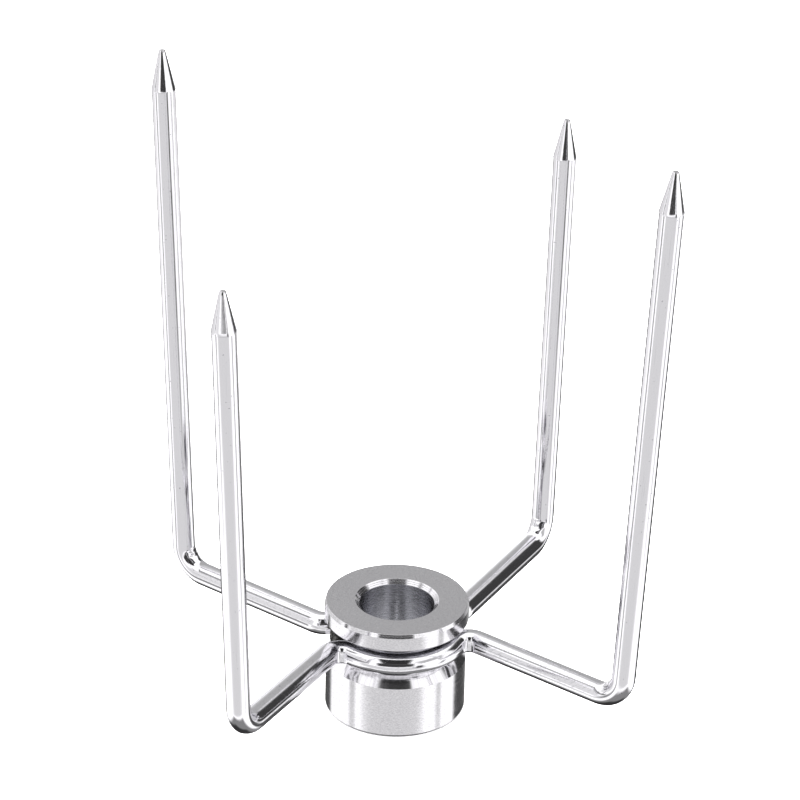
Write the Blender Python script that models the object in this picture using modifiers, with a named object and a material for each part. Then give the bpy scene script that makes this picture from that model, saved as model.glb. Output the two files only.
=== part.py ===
"""Four-pronged spit fork: a turned hub, two bent-wire forks welded into its groove, and a clamp screw.

The hub slides on a round spit rod, the clamp screw locks it there, and the four prongs hold the meat.
Frame: the origin is at the centre of the hub's underside, +Z runs up the bore and -Y is the front.
Azimuths are measured from the front (-Y) towards +X. All lengths are in metres.
"""

import math

import bmesh
import bpy
from mathutils import Vector

MM = 0.001

# Clearances
TOUCH_GAP = 0.3 * MM  # left between faces that touch on the real object
WIRE_HEADROOM = 2.3 * MM  # free height in the groove above the wires
SCREW_END_PLAY = 1.0 * MM  # left under the screw's head when it is right in

# Hub, turned from bar
BORE_RADIUS = 11.2 * MM  # passes a 22 mm spit rod
BORE_CHAMFER = 1.3 * MM
COLLAR_WALL = 9.8 * MM
COLLAR_HEIGHT = 16.7 * MM
COLLAR_CHAMFER = 3.5 * MM
BASE_CHAMFER = 0.4 * MM
NECK_WALL = 3.5 * MM
FLANGE_WALL = 10.3 * MM
FLANGE_THICKNESS = 5.5 * MM
FLANGE_BEVEL = 1.0 * MM
FLANGE_UNDER_BEVEL = 0.3 * MM
RING_BOSS_HEIGHT = 2.1 * MM  # the part of the neck that belongs to the flange ring

# Fork wires
WIRE_RADIUS = 3.5 * MM
TINE_CIRCLE_RADIUS = 74.7 * MM  # from the bore's axis to a tine, at the height of the arms
TINE_AZIMUTH = math.radians(49.0)
TINE_SPLAY = math.radians(2.3)
ARM_AZIMUTH = math.radians(40.8)  # the direction that an arm runs in
WRAP_AZIMUTH = math.radians(48.0)  # the wire hugs the neck this far to each side
LONG_TINE = 167.8 * MM  # from the arms' centreline up to the point
SHORT_TINE = 140.7 * MM
NECK_CORNER_RADIUS = 4.8 * MM  # of the centreline, where the wire turns out into an arm
FOOT_BEND_RADIUS = 8.5 * MM  # of the centreline, where an arm turns up into a tine
POINT_LENGTH = 12.0 * MM
POINT_FLAT_RADIUS = 0.95 * MM
POINT_BURR = 0.1 * MM  # the ground point's base stands this far proud of the wire

# Welds in the gaps between the two forks
WELD_LAP = 3.4 * MM  # onto each wire, past the side that faces the gap
WELD_OUTREACH = 0.7 * MM  # past the corners of the wires' centrelines
WELD_UNDERCUT = 0.4 * MM  # left bare at the top and the bottom of the wires

# Clamp screw, M8 with a knurled head
SCREW_RADIUS = 4.0 * MM
SCREW_SETBACK = 0.5 * MM  # of the tip from the bore's wall at rest
SCREW_TRAVEL_IN = 5.0 * MM
SCREW_TIP_LENGTH = 2.0 * MM
SCREW_TIP_RADIUS = 2.9 * MM
SCREW_EDGE = 0.6 * MM
HEAD_RADIUS = 7.5 * MM
HEAD_LENGTH = 9.0 * MM
HEAD_NECK_RADIUS = 5.6 * MM
HEAD_NECK_LENGTH = 2.0 * MM
HEAD_EDGE = 0.8 * MM
HEAD_END_WALL = 2.0 * MM

# How finely round shapes are cut
TURNING_STEPS = 72
SCREW_STEPS = 32
WRAP_STEPS = 12
BEND_STEPS = 8

# Sizes that follow from the ones above
COLLAR_RADIUS = BORE_RADIUS + COLLAR_WALL
NECK_RADIUS = BORE_RADIUS + NECK_WALL
FLANGE_RADIUS = BORE_RADIUS + FLANGE_WALL
SHOULDER_RADIUS = COLLAR_RADIUS - COLLAR_CHAMFER
GROOVE_FLOOR = COLLAR_HEIGHT + COLLAR_CHAMFER
WIRE_HEIGHT = GROOVE_FLOOR + TOUCH_GAP + WIRE_RADIUS
GROOVE_CEILING = WIRE_HEIGHT + WIRE_RADIUS + WIRE_HEADROOM
RING_SEAM = GROOVE_CEILING - RING_BOSS_HEIGHT
HUB_HEIGHT = GROOVE_CEILING + FLANGE_THICKNESS
WRAP_RADIUS = NECK_RADIUS + TOUCH_GAP + WIRE_RADIUS
SCREW_HEIGHT = COLLAR_HEIGHT / 2
HEAD_UNDERSIDE = COLLAR_RADIUS + SCREW_TRAVEL_IN + SCREW_END_PLAY
SCREW_END = HEAD_UNDERSIDE + HEAD_LENGTH - HEAD_END_WALL - TOUCH_GAP


def clear_scene():
    """Removes whatever the scene holds."""
    for obj in list(bpy.data.objects):
        bpy.data.objects.remove(obj, do_unlink=True)


def new_collection(name):
    """Makes a collection and links it to the scene."""
    collection = bpy.data.collections.new(name)
    bpy.context.scene.collection.children.link(collection)
    return collection


def steel(name, colour, roughness):
    """A bare metal with one colour and roughness."""
    material = bpy.data.materials.new(name)
    material.use_nodes = True
    shader = material.node_tree.nodes["Principled BSDF"]
    shader.inputs["Base Color"].default_value = (*colour, 1.0)
    shader.inputs["Metallic"].default_value = 1.0
    shader.inputs["Roughness"].default_value = roughness
    return material


def smooth(mesh, sharpest=math.radians(30)):
    """Shades a mesh smooth, except at its real edges."""
    mesh.shade_smooth()
    mesh.set_sharp_from_angle(angle=sharpest)


def as_mesh(obj, collection):
    """Swaps an object for the closed mesh that its bevel or its modifiers make, under the same name."""
    bpy.context.view_layer.update()
    evaluated = obj.evaluated_get(bpy.context.evaluated_depsgraph_get())
    mesh = bpy.data.meshes.new_from_object(evaluated)
    name = obj.name
    bpy.data.objects.remove(obj, do_unlink=True)
    shape = bmesh.new()
    shape.from_mesh(mesh)
    bmesh.ops.remove_doubles(shape, verts=shape.verts, dist=0.00001)
    shape.to_mesh(mesh)
    shape.free()
    mesh.name = name
    smooth(mesh)
    solid = bpy.data.objects.new(name, mesh)
    collection.objects.link(solid)
    return solid


def turned(name, outline, steps, collection, material=None):
    """Turns an outline of (radius, height) points about Z.

    The outline runs down its outer side first, so that the faces point out. One that starts and ends
    on the axis makes a solid, and any other is closed and makes a ring.
    """
    profile = bpy.data.meshes.new(name)
    points = [(radius, 0.0, height) for radius, height in outline]
    edges = [(i, i + 1) for i in range(len(points) - 1)]
    if outline[0][0] > 0.0:
        edges.append((len(points) - 1, 0))
    profile.from_pydata(points, edges, [])
    obj = bpy.data.objects.new(name, profile)
    collection.objects.link(obj)
    screw = obj.modifiers.new("Turn", "SCREW")
    screw.steps = steps
    screw.render_steps = steps
    screw.use_merge_vertices = True
    screw.merge_threshold = 0.00001
    solid = as_mesh(obj, collection)
    if material:
        solid.data.materials.append(material)
    return solid


def as_cutter(obj):
    """Keeps a helper object out of the finished object."""
    obj.hide_render = True
    obj.display_type = "WIRE"
    return obj


def cut(obj, cutter):
    """Takes the cutter's shape out of the object."""
    boolean = obj.modifiers.new("Cut " + cutter.name, "BOOLEAN")
    boolean.operation = "DIFFERENCE"
    boolean.object = cutter


def plan_point(radius, azimuth, height):
    """The point at this radius, azimuth and height."""
    return Vector((radius * math.sin(azimuth), -radius * math.cos(azimuth), height))


def arc_points(centre, radius, first, last, steps):
    """Points on a level arc, both ends included."""
    azimuths = [first + (last - first) * i / steps for i in range(steps + 1)]
    return [centre + plan_point(radius, azimuth, 0.0) for azimuth in azimuths]


def rounded_corner(before, corner, after, radius, steps):
    """Points of the arc that rounds off a corner of a path, both ends included."""
    into = (corner - before).normalized()
    out = (after - corner).normalized()
    turn = into.angle(out)
    start = corner - into * radius * math.tan(turn / 2)
    inwards = (out - into * into.dot(out)).normalized()
    centre = start + inwards * radius
    angles = [turn * i / steps for i in range(steps + 1)]
    return [centre + (into * math.sin(a) - inwards * math.cos(a)) * radius for a in angles]


def tine_foot():
    """Where the line of an arm meets the line of its tine, on the +X side of the front fork."""
    return plan_point(TINE_CIRCLE_RADIUS, TINE_AZIMUTH, WIRE_HEIGHT)


def corner_beside_neck():
    """Where the straight run that leaves the neck would meet the line of the arm."""
    foot = tine_foot()
    wrap_end = plan_point(WRAP_RADIUS, WRAP_AZIMUTH, WIRE_HEIGHT)
    leaving = plan_point(1.0, WRAP_AZIMUTH + math.pi / 2, 0.0)
    arm = plan_point(1.0, ARM_AZIMUTH, 0.0)
    return wrap_end + leaving * (foot - wrap_end).cross(arm).z / leaving.cross(arm).z


def prong_path(tine_length):
    """One half of a fork's centreline, as (point, wire radius) pairs.

    It runs round the neck from the front, along the arm on the +X side and up the tine.
    """
    foot = tine_foot()
    outwards = plan_point(1.0, TINE_AZIMUTH, 0.0)
    lean = Vector((0.0, 0.0, 1.0)) + outwards * math.tan(TINE_SPLAY)
    tip = foot + lean * tine_length
    level = Vector((0.0, 0.0, WIRE_HEIGHT))
    wrap = arc_points(level, WRAP_RADIUS, 0.0, WRAP_AZIMUTH, WRAP_STEPS // 2)
    turn_out = corner_beside_neck()
    corner = rounded_corner(wrap[-1], turn_out, foot, NECK_CORNER_RADIUS, BEND_STEPS)
    bend = rounded_corner(turn_out, foot, tip, FOOT_BEND_RADIUS, BEND_STEPS)
    point_base = tip - lean * POINT_LENGTH
    burr_below = point_base - lean * POINT_BURR * 4
    wire = [(point, WIRE_RADIUS) for point in wrap + corner + bend + [burr_below]]
    return wire + [(point_base, WIRE_RADIUS + POINT_BURR), (tip, POINT_FLAT_RADIUS)]


def fork_path():
    """The front fork's whole centreline: the short tine is on the -X side."""
    long_side = prong_path(LONG_TINE)
    short_side = prong_path(SHORT_TINE)
    mirrored = [(Vector((-p.x, p.y, p.z)), radius) for p, radius in reversed(short_side)]
    return mirrored + long_side[1:]


def wire_curve(name, path, fattening, collection):
    """A round wire along the path, made thicker all round by the fattening."""
    curve = bpy.data.curves.new(name, "CURVE")
    curve.dimensions = "3D"
    curve.bevel_depth = WIRE_RADIUS
    curve.bevel_resolution = 4
    curve.use_fill_caps = True
    spline = curve.splines.new("POLY")
    spline.points.add(len(path) - 1)
    for spline_point, (place, radius) in zip(spline.points, path):
        spline_point.co = (*place, 1.0)
        spline_point.radius = (radius + fattening) / WIRE_RADIUS
    obj = bpy.data.objects.new(name, curve)
    collection.objects.link(obj)
    return obj


def make_hub_body(parts, cutters, material):
    """The collar and the neck, bored through, with the clamp screw's hole in the rear wall."""
    seam = RING_SEAM - TOUCH_GAP
    outline = [
        (NECK_RADIUS, seam),
        (NECK_RADIUS, GROOVE_FLOOR),
        (SHOULDER_RADIUS, GROOVE_FLOOR),
        (COLLAR_RADIUS, COLLAR_HEIGHT),
        (COLLAR_RADIUS, BASE_CHAMFER),
        (COLLAR_RADIUS - BASE_CHAMFER, 0.0),
        (BORE_RADIUS + BASE_CHAMFER, 0.0),
        (BORE_RADIUS, BASE_CHAMFER),
        (BORE_RADIUS, seam),
    ]
    hub = turned("hub_body", outline, TURNING_STEPS, parts, material)
    hole_radius = SCREW_RADIUS + TOUCH_GAP
    hole = [
        (0.0, COLLAR_RADIUS * 1.2),
        (hole_radius, COLLAR_RADIUS * 1.2),
        (hole_radius, BORE_RADIUS * 0.5),
        (0.0, BORE_RADIUS * 0.5),
    ]
    drill = as_cutter(turned("screw_hole", hole, SCREW_STEPS, cutters))
    drill.location = (0.0, 0.0, SCREW_HEIGHT)
    drill.rotation_euler = (-math.pi / 2, 0.0, 0.0)
    cut(hub, drill)
    return hub


def make_flange_ring(parts, material):
    """The top flange, with the short boss that stands on the neck."""
    outline = [
        (FLANGE_RADIUS - FLANGE_BEVEL, HUB_HEIGHT),
        (FLANGE_RADIUS, HUB_HEIGHT - FLANGE_BEVEL),
        (FLANGE_RADIUS, GROOVE_CEILING + FLANGE_UNDER_BEVEL),
        (FLANGE_RADIUS - FLANGE_UNDER_BEVEL, GROOVE_CEILING),
        (NECK_RADIUS, GROOVE_CEILING),
        (NECK_RADIUS, RING_SEAM),
        (BORE_RADIUS, RING_SEAM),
        (BORE_RADIUS, HUB_HEIGHT - BORE_CHAMFER),
        (BORE_RADIUS + BORE_CHAMFER, HUB_HEIGHT),
    ]
    return turned("top_flange_ring", outline, TURNING_STEPS, parts, material)


def make_forks(parts, material):
    """The front fork, and the same fork turned half round for the rear."""
    path = fork_path()
    for name, turn in (("front_fork_wire", 0.0), ("rear_fork_wire", math.pi)):
        fork = as_mesh(wire_curve(name, path, 0.0, parts), parts)
        fork.rotation_euler = (0.0, 0.0, turn)
        fork.data.materials.append(material)


def make_weld_cutters(cutters):
    """The forks and the hub's neck, each grown by the touching gap."""
    path = fork_path()
    grown = []
    for name, turn in (("front_clearance", 0.0), ("rear_clearance", math.pi)):
        fork = as_mesh(wire_curve(name, path, TOUCH_GAP, cutters), cutters)
        fork.rotation_euler = (0.0, 0.0, turn)
        grown.append(as_cutter(fork))
    sleeve = [
        (0.0, HUB_HEIGHT),
        (NECK_RADIUS + TOUCH_GAP, HUB_HEIGHT),
        (NECK_RADIUS + TOUCH_GAP, 0.0),
        (0.0, 0.0),
    ]
    neck = turned("neck_clearance", sleeve, TURNING_STEPS, cutters)
    grown.append(as_cutter(neck))
    return grown


def make_weld_beads(parts, cutters, material):
    """The two welds that fill the gaps between the forks and hold them to the neck."""
    grown = make_weld_cutters(cutters)
    corner = corner_beside_neck()
    reach = corner.x - NECK_RADIUS + WELD_OUTREACH
    half_width = abs(corner.y) - WIRE_RADIUS + WELD_LAP
    half_height = WIRE_RADIUS - WELD_UNDERCUT
    for name, side in (("left_weld_bead", -1), ("right_weld_bead", 1)):
        shape = bmesh.new()
        bmesh.ops.create_uvsphere(shape, u_segments=20, v_segments=12, radius=1.0)
        size = Vector((reach, half_width, half_height))
        bmesh.ops.scale(shape, vec=size, verts=shape.verts)
        mesh = bpy.data.meshes.new(name)
        shape.to_mesh(mesh)
        shape.free()
        mesh.materials.append(material)
        bead = bpy.data.objects.new(name, mesh)
        bead.location = (side * NECK_RADIUS, 0.0, WIRE_HEIGHT)
        parts.objects.link(bead)
        for cutter in grown:
            cut(bead, cutter)
        smooth(mesh)


def make_clamp_screw(parts, material, head_material):
    """The stud and its head, lying along +Y through the collar's rear wall."""
    axis = bpy.data.objects.new("clamp_screw_axis", None)
    axis.location = (0.0, 0.0, SCREW_HEIGHT)
    axis.rotation_euler = (-math.pi / 2, 0.0, 0.0)
    parts.objects.link(axis)
    tip = BORE_RADIUS + SCREW_SETBACK
    shoulder = tip + SCREW_TIP_LENGTH
    stud_outline = [
        (0.0, SCREW_END),
        (SCREW_RADIUS - SCREW_EDGE, SCREW_END),
        (SCREW_RADIUS, SCREW_END - SCREW_EDGE),
        (SCREW_RADIUS, shoulder + SCREW_RADIUS - SCREW_TIP_RADIUS),
        (SCREW_TIP_RADIUS, shoulder),
        (SCREW_TIP_RADIUS, tip + SCREW_EDGE / 2),
        (SCREW_TIP_RADIUS - SCREW_EDGE / 2, tip),
        (0.0, tip),
    ]
    stud = turned("clamp_screw_stud", stud_outline, SCREW_STEPS, parts, material)
    socket_radius = SCREW_RADIUS + TOUCH_GAP
    socket_end = SCREW_END + TOUCH_GAP
    outer_end = HEAD_UNDERSIDE + HEAD_LENGTH
    grip = HEAD_UNDERSIDE + HEAD_NECK_LENGTH
    head_outline = [
        (0.0, outer_end),
        (HEAD_RADIUS - HEAD_EDGE, outer_end),
        (HEAD_RADIUS, outer_end - HEAD_EDGE),
        (HEAD_RADIUS, grip + HEAD_EDGE),
        (HEAD_RADIUS - HEAD_EDGE, grip),
        (HEAD_NECK_RADIUS, grip),
        (HEAD_NECK_RADIUS, HEAD_UNDERSIDE),
        (socket_radius, HEAD_UNDERSIDE),
        (socket_radius, socket_end),
        (0.0, socket_end),
    ]
    head = turned("clamp_screw_head", head_outline, SCREW_STEPS, parts, head_material)
    for piece in (stud, head):
        piece.parent = axis


def main():
    """Builds the whole fork."""
    clear_scene()
    parts = new_collection("spit_fork")
    cutters = new_collection("cutters")
    turned_steel = steel("turned_stainless", (0.62, 0.62, 0.64), 0.28)
    wire_steel = steel("polished_stainless_wire", (0.72, 0.72, 0.74), 0.12)
    weld_steel = steel("weld_metal", (0.16, 0.15, 0.15), 0.5)
    screw_steel = steel("zinc_plated_screw", (0.6, 0.6, 0.6), 0.3)
    make_hub_body(parts, cutters, turned_steel)
    make_flange_ring(parts, turned_steel)
    make_forks(parts, wire_steel)
    make_weld_beads(parts, cutters, weld_steel)
    make_clamp_screw(parts, screw_steel, screw_steel)


main()
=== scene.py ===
"""The finished look of a four-pronged spit fork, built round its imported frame.

A turned hub and flange ring, two bent and ground wires, their welds and a knurled clamp screw are
modelled anew at the places that the frame gives, dressed in procedural metals and set on a pale floor.
Lengths are in metres. Azimuths are measured from the front (-Y) towards +X.
"""

import logging
import math
from dataclasses import dataclass, field
from enum import Enum

import bmesh
import bpy
from mathutils import Matrix, Quaternion, Vector, kdtree, noise


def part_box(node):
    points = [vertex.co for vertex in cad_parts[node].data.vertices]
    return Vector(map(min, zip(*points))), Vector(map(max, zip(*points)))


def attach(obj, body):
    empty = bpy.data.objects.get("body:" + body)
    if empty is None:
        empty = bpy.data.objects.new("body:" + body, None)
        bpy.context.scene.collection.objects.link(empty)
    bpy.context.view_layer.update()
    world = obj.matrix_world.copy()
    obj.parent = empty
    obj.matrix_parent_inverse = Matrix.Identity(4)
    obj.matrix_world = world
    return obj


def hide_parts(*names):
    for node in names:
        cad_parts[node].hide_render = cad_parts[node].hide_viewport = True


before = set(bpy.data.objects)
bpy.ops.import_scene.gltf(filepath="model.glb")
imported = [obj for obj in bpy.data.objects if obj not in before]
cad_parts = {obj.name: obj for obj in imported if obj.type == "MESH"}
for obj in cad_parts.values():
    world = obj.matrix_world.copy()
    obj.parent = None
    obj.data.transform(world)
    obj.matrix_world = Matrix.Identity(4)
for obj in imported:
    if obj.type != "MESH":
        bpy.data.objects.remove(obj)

LOG = logging.getLogger("spit_fork")
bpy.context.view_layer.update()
MM = 0.001
UP = Vector((0.0, 0.0, 1.0))
WIRE_SPACE = "wire_space"  # vertex attribute: place in the wire as if it were still straight

Outline = list[tuple[float, float]]


class Body(Enum):
    """The bodies of the frame that pieces ride on."""

    FORK = "fork"
    STUD = "clamp_stud"
    HEAD = "clamp_head"


class Slot(Enum):
    """The record's material slots."""

    HUB = "turned_hub"
    WIRE = "polished_wire"
    WELD = "weld_metal"
    SCREW = "screw_steel"


# ---------------------------------------------------------------------------------------------
# Hand tools


def pick(obj: bpy.types.Object) -> None:
    """Makes this the only selected object, and the active one.

    Args:
        obj: The object to work on.
    """
    bpy.ops.object.select_all(action="DESELECT")
    obj.select_set(True)
    bpy.context.view_layer.objects.active = obj


def apply_modifier(obj: bpy.types.Object, kind: str, **settings: object) -> None:
    """Adds a modifier, sets it up and applies it at once.

    Args:
        obj: The object that it shapes.
        kind: The modifier's type.
        **settings: Its properties by name.
    """
    pick(obj)
    modifier = obj.modifiers.new(kind.title(), kind)
    for name, value in settings.items():
        setattr(modifier, name, value)
    bpy.ops.object.modifier_apply(modifier=modifier.name)


def cut_away(obj: bpy.types.Object, cutter: bpy.types.Object, keep_common: bool = False) -> None:
    """Cuts an object with another one, which is then removed.

    Args:
        obj: The object that stays.
        cutter: The tool, a closed mesh.
        keep_common: True keeps what both share, in place of what is outside the tool.
    """
    operation = "INTERSECT" if keep_common else "DIFFERENCE"
    apply_modifier(obj, "BOOLEAN", operation=operation, object=cutter, solver="EXACT")
    bpy.data.objects.remove(cutter, do_unlink=True)


def place_in_mesh(obj: bpy.types.Object, location: Vector, rotation: tuple[float, float, float]) -> None:
    """Moves and turns an object, and keeps the result in its mesh.

    Args:
        obj: The object, at the origin.
        location: Where its origin goes.
        rotation: Its Euler angles.
    """
    obj.location = location
    obj.rotation_euler = rotation
    pick(obj)
    bpy.ops.object.transform_apply(location=True, rotation=True, scale=True)


def shade(obj: bpy.types.Object, sharpest: float = 32.0) -> None:
    """Shades smooth between real edges, with the large faces setting the normals.

    Args:
        obj: The finished object.
        sharpest: Edges over this angle, in degrees, stay sharp.
    """
    pick(obj)
    bpy.ops.object.shade_smooth_by_angle(angle=math.radians(sharpest))
    apply_modifier(obj, "WEIGHTED_NORMAL", mode="FACE_AREA", weight=50, keep_sharp=True)


def hand_over(
    piece: bpy.types.Object, body: Body, slot: Slot, metal: bpy.types.Material, *nodes: str
) -> bpy.types.Object:
    """Dresses a finished piece and ties it to the frame.

    Args:
        piece: The finished mesh, at the origin.
        body: The body that it rides on.
        slot: The record's slot for its finish; not used.
        metal: Its material.
        *nodes: The frame's nodes that it stands for.

    Returns:
        The piece.
    """
    piece.data.materials.clear()
    piece.data.materials.append(metal)
    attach(piece, body.value)
    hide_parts(*nodes)
    LOG.info("%s: %d faces, rides on %s", piece.name, len(piece.data.polygons), body.value)
    return piece


def round_corners(corners: list[tuple[float, float, float]], steps: int = 8) -> Outline:
    """Turns a closed outline of corners into points, with each corner's fillet as an arc.

    Args:
        corners: (radius from the axis, height, fillet radius) of each corner.
        steps: Segments of each fillet.

    Returns:
        The (radius, height) points in order.
    """
    points: Outline = []
    for i, (x, y, fillet) in enumerate(corners):
        corner = Vector((x, y))
        if fillet <= 0.0:
            points.append((x, y))
            continue
        before = (Vector(corners[i - 1][:2]) - corner).normalized()
        after = (Vector(corners[(i + 1) % len(corners)][:2]) - corner).normalized()
        half = before.angle(after) / 2
        middle = (before + after).normalized()
        centre = corner + middle * fillet / math.sin(half)
        start = corner + before * fillet / math.tan(half) - centre
        end = corner + after * fillet / math.tan(half) - centre
        turn = math.atan2(start.x * end.y - start.y * end.x, start.dot(end))
        for k in range(steps + 1):
            angle = turn * k / steps
            c, s = math.cos(angle), math.sin(angle)
            points.append((centre.x + start.x * c - start.y * s, centre.y + start.x * s + start.y * c))
    return points


@dataclass(frozen=True)
class Lathe:
    """Turns outlines about the Z axis."""

    steps: int = 256

    def draw(self, name: str, outline: Outline) -> bpy.types.Object:
        """Draws an outline in the XZ plane, one extruded vertex after another.

        Args:
            name: The new object's name.
            outline: Its (radius, height) points.

        Returns:
            An object of edges only.
        """
        bpy.ops.mesh.primitive_plane_add(size=MM, location=(0.0, 0.0, 0.0))
        obj = bpy.context.object
        obj.name = name
        bpy.ops.object.mode_set(mode="EDIT")
        bpy.ops.mesh.select_all(action="SELECT")
        bpy.ops.mesh.merge(type="CENTER")
        place = Vector((outline[0][0], 0.0, outline[0][1]))
        bpy.ops.transform.translate(value=place)
        for radius, height in outline[1:]:
            step = Vector((radius, 0.0, height)) - place
            bpy.ops.mesh.extrude_region_move(TRANSFORM_OT_translate={"value": step})
            place += step
        bpy.ops.object.mode_set(mode="OBJECT")
        return obj

    def turn(self, name: str, outline: Outline, closed: bool = True) -> bpy.types.Object:
        """Spins an outline full circle and closes the surface.

        Args:
            name: The new object's name.
            outline: Its (radius, height) points.
            closed: True for a ring, False for an outline that starts and ends on the axis.

        Returns:
            The turned solid.
        """
        obj = self.draw(name, outline + outline[:1] if closed else outline)
        bpy.ops.object.mode_set(mode="EDIT")
        bpy.ops.mesh.select_all(action="SELECT")
        bpy.ops.mesh.spin(steps=self.steps, angle=math.tau, center=(0.0, 0.0, 0.0), axis=UP)
        bpy.ops.mesh.select_all(action="SELECT")
        bpy.ops.mesh.remove_doubles(threshold=0.002 * MM)
        bpy.ops.mesh.normals_make_consistent(inside=False)
        bpy.ops.object.mode_set(mode="OBJECT")
        return obj


@dataclass
class Station:
    """One ring of a bent wire: its centre, its two cross directions and its place along the wire."""

    centre: Vector
    side: Vector
    lift: Vector
    along: float


@dataclass
class WireBender:
    """Draws a wire out ring by ring and bends it, as a bending jig does."""

    name: str
    place: Vector
    heading: Vector
    side: Vector
    current: float = 0.0
    around: int = 64
    along: float = 0.0
    stations: list[Station] = field(default_factory=list)
    obj: bpy.types.Object = None

    def start(self, radius: float) -> None:
        """Adds the first ring.

        Args:
            radius: The ring's radius.
        """
        turn = self.heading.to_track_quat("Z", "Y").to_euler()
        bpy.ops.mesh.primitive_circle_add(
            vertices=self.around, radius=radius, fill_type="NOTHING", location=self.place, rotation=turn
        )
        self.obj = bpy.context.object
        self.obj.name = self.name
        bpy.ops.object.transform_apply(location=True, rotation=True, scale=True)
        bpy.ops.object.mode_set(mode="EDIT")
        bpy.ops.mesh.select_all(action="SELECT")
        self.current = radius
        self.note()

    def note(self) -> None:
        """Remembers where the newest ring is."""
        self.stations.append(
            Station(self.place.copy(), self.side.copy(), self.heading.cross(self.side), self.along)
        )

    def run(self, length: float, cuts: int = 1) -> None:
        """Draws the wire straight on.

        Args:
            length: How far.
            cuts: In how many rings.
        """
        step = self.heading * (length / cuts)
        for _ in range(cuts):
            bpy.ops.mesh.extrude_region_move(TRANSFORM_OT_translate={"value": step})
            self.place += step
            self.along += length / cuts
            self.note()

    def swell(self, radius: float) -> None:
        """Gives the newest ring this radius."""
        ratio = radius / self.current
        bpy.ops.transform.resize(value=(ratio, ratio, ratio), center_override=self.place)
        self.current = radius

    def bend(self, centre: Vector, axis: Vector, angle: float, steps: int) -> None:
        """Bends the wire round a pin.

        Args:
            centre: The pin's centre, level with the newest ring.
            axis: The pin's direction, about which the turn is right-handed.
            angle: How far round.
            steps: In how many rings.
        """
        bpy.ops.mesh.spin(steps=steps, angle=-angle, center=centre, axis=axis, use_auto_merge=False)
        step = Quaternion(axis, angle / steps)
        arm = self.place - centre
        length = abs(angle) * arm.length / steps
        for _ in range(steps):
            arm.rotate(step)
            self.heading.rotate(step)
            self.side.rotate(step)
            self.place = centre + arm
            self.along += length
            self.note()

    def run_and_turn(self, corner: Vector, towards: Vector, radius: float, cuts: int, steps: int) -> Vector:
        """Runs up to a corner, rounds it and faces the next point.

        Args:
            corner: Where the two straight runs would meet.
            towards: A point on the next run.
            radius: The bend's radius, on the wire's centreline.
            cuts: Rings of the straight run.
            steps: Rings of the bend.

        Returns:
            The bend's centre.
        """
        onwards = (towards - corner).normalized()
        angle = self.heading.angle(onwards)
        self.run((corner - self.place).length - radius * math.tan(angle / 2), cuts)
        axis = self.heading.cross(onwards).normalized()
        centre = self.place + axis.cross(self.heading) * radius
        self.bend(centre, axis, angle, steps)
        return centre

    def finish(self) -> bpy.types.Object:
        """Closes both ends.

        Returns:
            The closed wire.
        """
        bpy.ops.mesh.select_all(action="DESELECT")
        bpy.ops.mesh.select_non_manifold()
        bpy.ops.mesh.fill_holes(sides=0)
        bpy.ops.mesh.select_all(action="SELECT")
        bpy.ops.mesh.normals_make_consistent(inside=False)
        bpy.ops.object.mode_set(mode="OBJECT")
        return self.obj

    def unroll(self) -> None:
        """Writes each vertex's place in the straight wire, which its drawing marks follow."""
        mesh = self.obj.data
        tree = kdtree.KDTree(len(self.stations))
        for i, station in enumerate(self.stations):
            tree.insert(station.centre, i)
        tree.balance()
        attribute = mesh.attributes.new(WIRE_SPACE, "FLOAT_VECTOR", "POINT")
        for vertex in mesh.vertices:
            station = self.stations[tree.find(vertex.co)[1]]
            offset = vertex.co - station.centre
            ahead = station.side.cross(station.lift)
            attribute.data[vertex.index].vector = (
                offset.dot(station.side),
                offset.dot(station.lift),
                station.along + offset.dot(ahead),
            )


# ---------------------------------------------------------------------------------------------
# Finishes


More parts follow.
